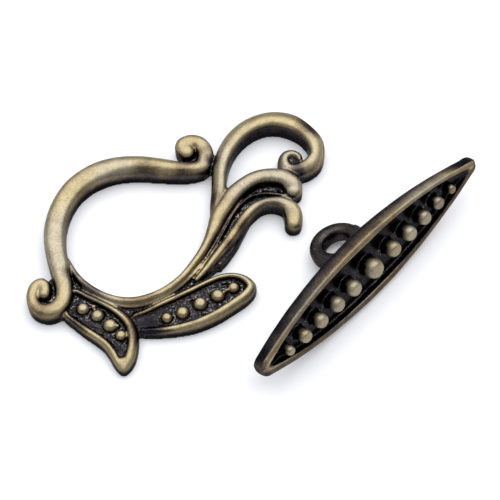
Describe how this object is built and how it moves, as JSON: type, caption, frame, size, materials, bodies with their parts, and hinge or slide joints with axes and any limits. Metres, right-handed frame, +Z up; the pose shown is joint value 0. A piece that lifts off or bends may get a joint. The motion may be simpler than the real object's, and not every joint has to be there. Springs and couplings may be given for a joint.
{
  "type": "toggle clasp",
  "caption": "Cast toggle clasp: an openwork ring of scrolls, feather strands and beaded leaves, and a lens-shaped beaded bar with an eye on its back.",
  "frame": {"origin": "centre of the bounding box's underside, on the surface that both halves lie on", "axes": "+X to the right of the picture, from the ring to the bar; +Y away from the viewer; +Z up from the surface"},
  "size_m": [0.055, 0.0378, 0.0088],
  "materials": {
    "ring_metal": "antique brass plating, satin-polished crests over a black patina in the hollows",
    "bar_metal": "antique brass plating, satin-polished rim and beads over a black patina in the recess and on the eye"
  },
  "bodies": {
    "root": {"toggle_ring": "ring_metal", "toggle_bar": "bar_metal"}
  },
  "joints": []
}
